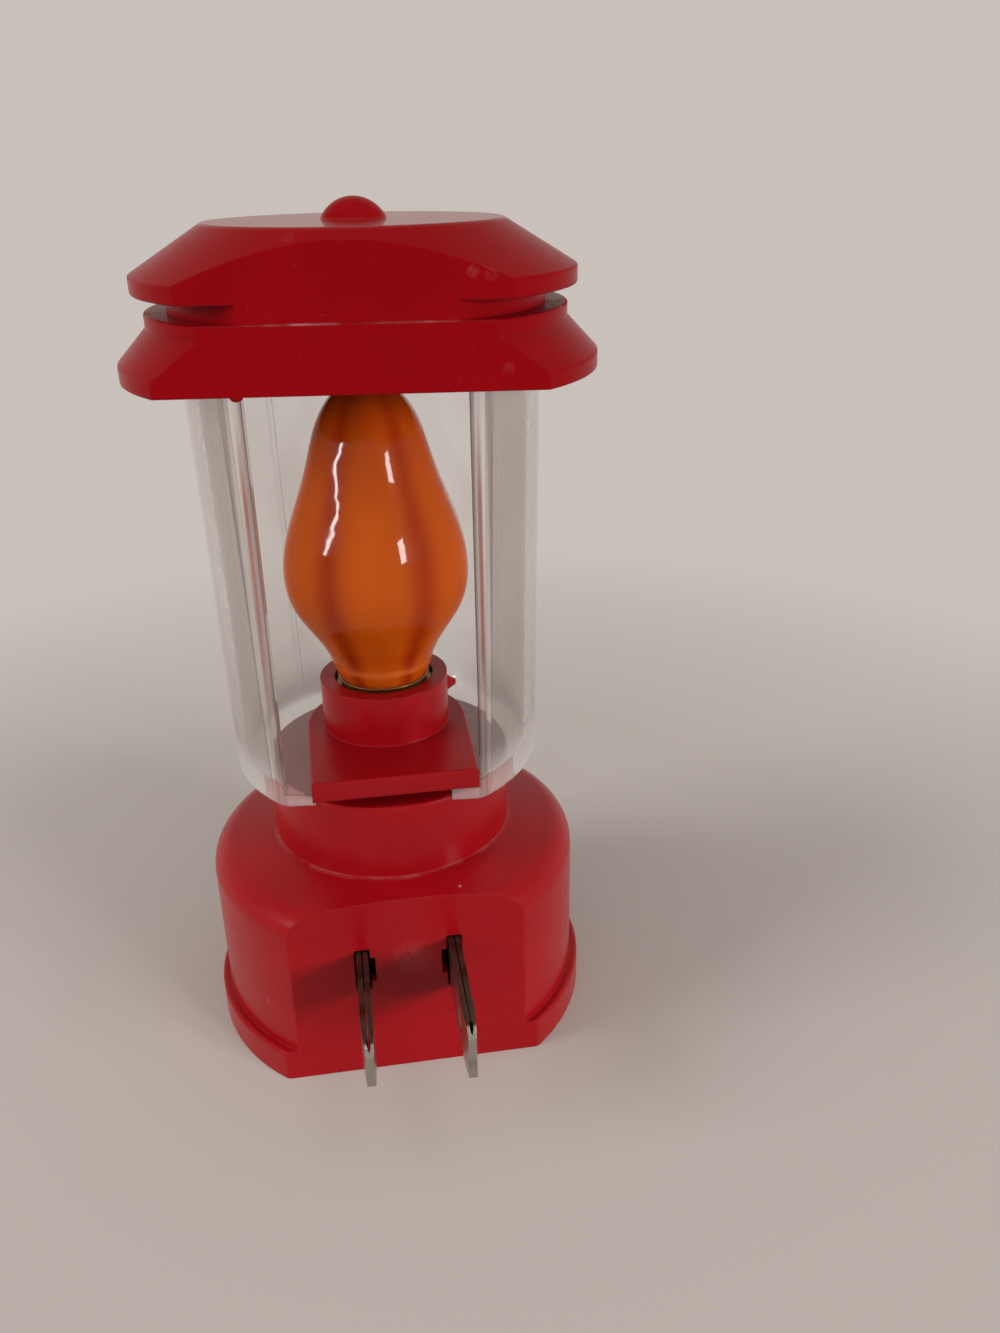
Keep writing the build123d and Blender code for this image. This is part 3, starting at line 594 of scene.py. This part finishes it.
class LANTERN_OT_bulb(bpy.types.Operator):
    """Builds the bulb's threaded shell and finishes its glass and inner pieces"""
    bl_idname = "lantern.bulb"
    bl_label = "Bulb"

    def execute(self, context):
        brass = metal("bulb_brass", (0.36, 0.19, 0.075), 0.26)
        black_glass = plain_moulding("black_insulator_glass", (0.012, 0.012, 0.014), 0.12)
        dress(orange_glass(), "bulb_glass")
        dress(black_glass, "bulb_insulator")
        dress(metal("solder", (0.52, 0.52, 0.53), 0.42, (900, 900, 900)), "bulb_center_contact")
        dress(plain_moulding("stem_glass", (0.90, 0.92, 0.92), 0.05, 1.0), "bulb_stem")
        dress(metal("lead_in_steel", (0.45, 0.45, 0.46), 0.30),
              "bulb_lead_in_wires", "bulb_filament")
        piece("bulb_threaded_shell", self.threaded_shell(context.scene.lantern_sizes),
              "bulb", "brass", brass, "bulb_screw_shell")
        return {"FINISHED"}

    def threaded_shell(self, sizes):
        """Rolled thread below a flared rim, as one sheet with an inside."""
        around = 72
        rows = 84
        plain_radius = 5.85 * MM
        sheet = 0.28 * MM
        thread_in, thread_out = 1.2 * MM, 1.0 * MM
        flare_height = 1.2 * MM
        curl, curl_height = 0.35 * MM, 0.5 * MM
        low, high = SHELL_LOW * MM, SHELL_HIGH * MM
        flare = high - flare_height
        inner = []
        outer = []
        for row in range(rows + 1):
            z = low + (high - low) * row / rows
            fade = min(1, max(0, (z - low) / thread_in), max(0, (flare - z) / thread_out))
            rim = max(0, (z - flare) / flare_height)
            ring = []
            for step in range(around):
                angle = 2 * math.pi * step / around
                wave = 0.5 - 0.5 * math.cos(2 * math.pi * z / sizes.thread_pitch - angle)
                radius = plain_radius - fade * sizes.thread_depth * wave
                radius += rim * (SHELL_RIM * MM - plain_radius)
                radius -= curl * max(0, 1 - (z - low) / curl_height) ** 2
                ring.append((radius, angle, z))
            outer.append(ring)
            inner.append([(radius - sheet, angle, z) for radius, angle, z in ring])
        rings = inner[::-1] + outer
        placed = [[(r * math.cos(a), r * math.sin(a), z) for r, a, z in ring] for ring in rings]
        return lofted("bulb_threaded_shell", placed + [placed[0]])


class LANTERN_OT_shade(bpy.types.Operator):
    """Finishes the clear globe and the two mouldings of the roof"""
    bl_idname = "lantern.shade"
    bl_label = "Globe and roof"

    def execute(self, context):
        dress(clear_plastic(), "globe")
        knob_height = 2.5
        # The roof's tone of 0.80 is a painted shade on the same red as the base, and its four
        # spots are painted glints
        roof_red = red_plastic(
            "roof_red", 0.25, 0.80, 0.03, polished=ROOF_TOP - knob_height,
            lines=((GLUE_SEAM, 0.5, -10.5, -6.5), (GLUE_SEAM, 0.25, -7, 9)),
            scuffs_and_glints=(((11.32, -20.99, 107.76), 0.80, 0.11), ((13.20, -21.20, 107.42), 0.85, 0.08),
                    ((14.96, -21.39, 97.67), 0.80, 0.08), ((-7.50, -17.90, 111.35), 1.0, 0.05)))
        dress(roof_red, "roof_lower", "roof_upper")
        piece("skirt_gate_nub", self.nub(), "shade", "red_plastic", roof_red)
        return {"FINISHED"}

    def nub(self):
        """What is left of a gate under the edge of the skirt: a low, uneven lump.

        Its outline is a list of radii and how far each lies under the skirt, in millimetres.
        """
        x, y = -14.75, -17.85
        outline = ((0.70, -0.25), (0.74, 0.0), (0.66, 0.22), (0.45, 0.42), (0.18, 0.52))
        around = 20
        flatness = 0.45
        rings = []
        for radius, drop in outline:
            ring = []
            for step in range(around):
                angle = 2 * math.pi * step / around
                uneven = 0.10 * math.sin(3 * angle + drop) + 0.06 * math.cos(5 * angle)
                reach = radius * (1 + uneven)
                point = (x + reach * math.cos(angle), y + flatness * reach * math.sin(angle),
                         SKIRT_LOW - drop)
                ring.append([part * MM for part in point])
            rings.append(ring)
        return lofted("skirt_gate_nub", rings, closed_ends=True)


class LANTERN_OT_studio(bpy.types.Operator):
    """Sets up the camera, a pale floor and soft studio light"""
    bl_idname = "lantern.studio"
    bl_label = "Studio"

    def execute(self, context):
        studio = context.scene.lantern_studio
        self.camera(context.scene, studio)
        self.floor(studio)
        self.backdrop(context.scene, studio)
        self.lamp("ceiling", 10, 78, 1.30, (1.1, 1.1), 4.1, mirrored=False)
        self.lamp("key", 36, 9, 1.10, (0.18, 0.28), 5.2, mirrored=False)
        self.lamp("left_wash", -79, 20, 1.10, (0.50, 0.60), 8.2, mirrored=False)
        self.lamp("left_pane", -66.2, 18, 1.10, (0.012, 0.34), 0.8)
        self.lamp("right_pane", 49, 12, 1.10, (0.12, 0.24), 3.8)
        context.scene.view_settings.view_transform = "Standard"
        return {"FINISHED"}

    def camera(self, scene, studio):
        """The scene's camera, turned by its azimuth, pitch and roll."""
        data = bpy.data.cameras.new("camera")
        data.sensor_fit = "VERTICAL"
        data.sensor_height = studio.sensor
        data.lens = studio.focal_share * studio.sensor
        data.clip_start = 0.005
        made = bpy.data.objects.new("camera", data)
        turn = (Matrix.Rotation(-studio.camera_azimuth, 4, "Z")
                @ Matrix.Rotation(math.radians(90) - studio.camera_pitch, 4, "X")
                @ Matrix.Rotation(studio.camera_roll, 4, "Z"))
        made.matrix_world = Matrix.Translation(studio.camera_place) @ turn
        scene.collection.objects.link(made)
        scene.camera = made

    def floor(self, studio):
        """A wide sheet with a soft drift in its colour, which fades out away from the base."""
        cells = 24
        half_side = 6.0
        # Millimetres from the middle of the base
        fade_from, fade_to = 90, 210
        work = bmesh.new()
        bmesh.ops.create_grid(work, x_segments=cells, y_segments=cells, size=half_side)
        mesh = bpy.data.meshes.new("floor")
        work.to_mesh(mesh)
        work.free()
        made = bpy.data.objects.new("floor", mesh)
        bpy.context.scene.collection.objects.link(made)
        finish = Finish("pale_floor", Roughness=0.75, Specular_IOR_Level=0.1)
        drift = finish.noise(3, 3)
        finish.feed(Base_Color=finish.mix(drift, rgb(studio.floor), rgb(studio.floor, 0.93)))
        faded = finish.rise(finish.distance((0, 0, 0)), fade_from, fade_to)
        finish.blend_into(faded, "ShaderNodeBsdfTransparent")
        mesh.materials.append(finish.material)

    def backdrop(self, scene, studio):
        """Pale for the eye, in gloss and through glass, and dimmer as a light.

        What a dull surface has scattered counts as light, whatever it met before.
        """
        world = bpy.data.worlds.new("studio")
        world.use_nodes = True
        scene.world = world
        graph = Graph(world.node_tree)
        pale = (*rgb(studio.backdrop), 1)
        background = graph.tree.nodes["Background"]
        background.inputs["Color"].default_value = pale
        shown = Value(graph, background.outputs[0])
        dim = graph.node("ShaderNodeBackground", {"Color": pale, "Strength": studio.ambient})
        seen = graph.ray("Is Camera Ray")
        for kind in ("Is Glossy Ray", "Is Transmission Ray"):
            seen = seen.sum("MAXIMUM", seen, graph.ray(kind))
        sight = seen.sum("SUBTRACT", seen, graph.ray("Diffuse Depth"), clamp=True)
        graph.show(graph.node("ShaderNodeMixShader", {0: sight, 1: dim, 2: shown}), "World Output")

    def lamp(self, name, azimuth, elevation, distance, size, power, mirrored=True):
        """A soft lamp that faces the lantern, placed by its angles from the wall side.

        Mirrored says whether gloss and clear plastic show the lamp itself.
        """
        aim = Vector((0, 0, 0.055))
        data = bpy.data.lights.new(name, "AREA")
        data.shape = "RECTANGLE"
        data.size, data.size_y = size
        data.energy = power
        made = bpy.data.objects.new(name, data)
        made.visible_glossy = mirrored
        made.visible_transmission = mirrored
        bpy.context.scene.collection.objects.link(made)
        turn, lift = math.radians(azimuth), math.radians(elevation)
        towards = Vector((math.sin(turn) * math.cos(lift), -math.cos(turn) * math.cos(lift),
                          math.sin(lift)))
        made.location = aim + distance * towards
        made.rotation_euler = (-towards).to_track_quat("-Z", "Y").to_euler()


class LANTERN_PT_panel(bpy.types.Panel):
    """Lists the lantern's pieces and its settings"""
    bl_idname = "LANTERN_PT_panel"
    bl_label = "Lantern night light"
    bl_space_type = "VIEW_3D"
    bl_region_type = "UI"
    bl_category = "Lantern"

    def draw(self, context):
        for operator in OPERATORS:
            self.layout.operator(operator.bl_idname)
        for group in (context.scene.lantern_colours, context.scene.lantern_sizes,
                      context.scene.lantern_studio):
            box = self.layout.box()
            for name in group.bl_rna.properties.keys():
                if name not in ("rna_type", "name"):
                    box.prop(group, name)


OPERATORS = (LANTERN_OT_base, LANTERN_OT_blades, LANTERN_OT_socket, LANTERN_OT_bulb,
             LANTERN_OT_shade, LANTERN_OT_studio)
CLASSES = (LanternColours, LanternSizes, LanternStudio, *OPERATORS, LANTERN_PT_panel)


def register():
    """Adds the classes and hangs their settings on the scene."""
    for kind in CLASSES:
        bpy.utils.register_class(kind)
    bpy.types.Scene.lantern_colours = bpy.props.PointerProperty(type=LanternColours)
    bpy.types.Scene.lantern_sizes = bpy.props.PointerProperty(type=LanternSizes)
    bpy.types.Scene.lantern_studio = bpy.props.PointerProperty(type=LanternStudio)


def unregister():
    """Takes away what register adds."""
    del bpy.types.Scene.lantern_studio
    del bpy.types.Scene.lantern_sizes
    del bpy.types.Scene.lantern_colours
    for kind in reversed(CLASSES):
        bpy.utils.unregister_class(kind)


def main():
    """Makes every piece and the studio."""
    register()
    bpy.ops.lantern.base()
    bpy.ops.lantern.blades()
    bpy.ops.lantern.socket()
    bpy.ops.lantern.bulb()
    bpy.ops.lantern.shade()
    bpy.ops.lantern.studio()


if __name__ == "__main__":
    main()
